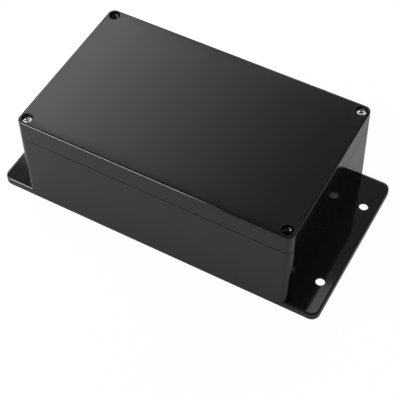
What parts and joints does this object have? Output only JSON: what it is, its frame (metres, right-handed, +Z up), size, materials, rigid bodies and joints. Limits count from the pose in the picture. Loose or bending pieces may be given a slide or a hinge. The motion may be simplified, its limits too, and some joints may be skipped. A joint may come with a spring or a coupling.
{
  "type": "flanged project box",
  "caption": "Rectangular black plastic enclosure with a screwed-on gasketed lid and a mounting flange at each short end.",
  "frame": {"origin": "middle of the flat underside, half way between the flanges and between the long walls", "axes": "+X along the box towards one flange, +Y across it, +Z up through the lid"},
  "size_m": [0.2432, 0.122, 0.075],
  "materials": {
    "black_abs": "moulded, high gloss",
    "white_silicone": "extruded, satin",
    "zinc_steel": "bright zinc plate",
    "brass": "turned"
  },
  "bodies": {
    "base": {"base": "black_abs", "brass_insert_front_left": "brass", "brass_insert_front_right": "brass", "brass_insert_back_left": "brass", "brass_insert_back_right": "brass"},
    "lid": {"lid": "black_abs", "sealing_cord": "white_silicone"},
    "screw_front_left": {"lid_screw_front_left": "zinc_steel"},
    "screw_back_right": {"lid_screw_back_right": "zinc_steel"}
  },
  "joints": [
    {"name": "lid_lift", "type": "slide", "parent": "base", "child": "lid", "axis": [0, 0, 1], "range_m": [0, 0.09]},
    {"name": "screw_front_left_back_out", "type": "slide", "parent": "lid", "child": "screw_front_left", "axis": [0, 0, 1], "range_m": [0, 0.03]},
    {"name": "screw_back_right_back_out", "type": "slide", "parent": "lid", "child": "screw_back_right", "axis": [0, 0, 1], "range_m": [0, 0.03]}
  ]
}
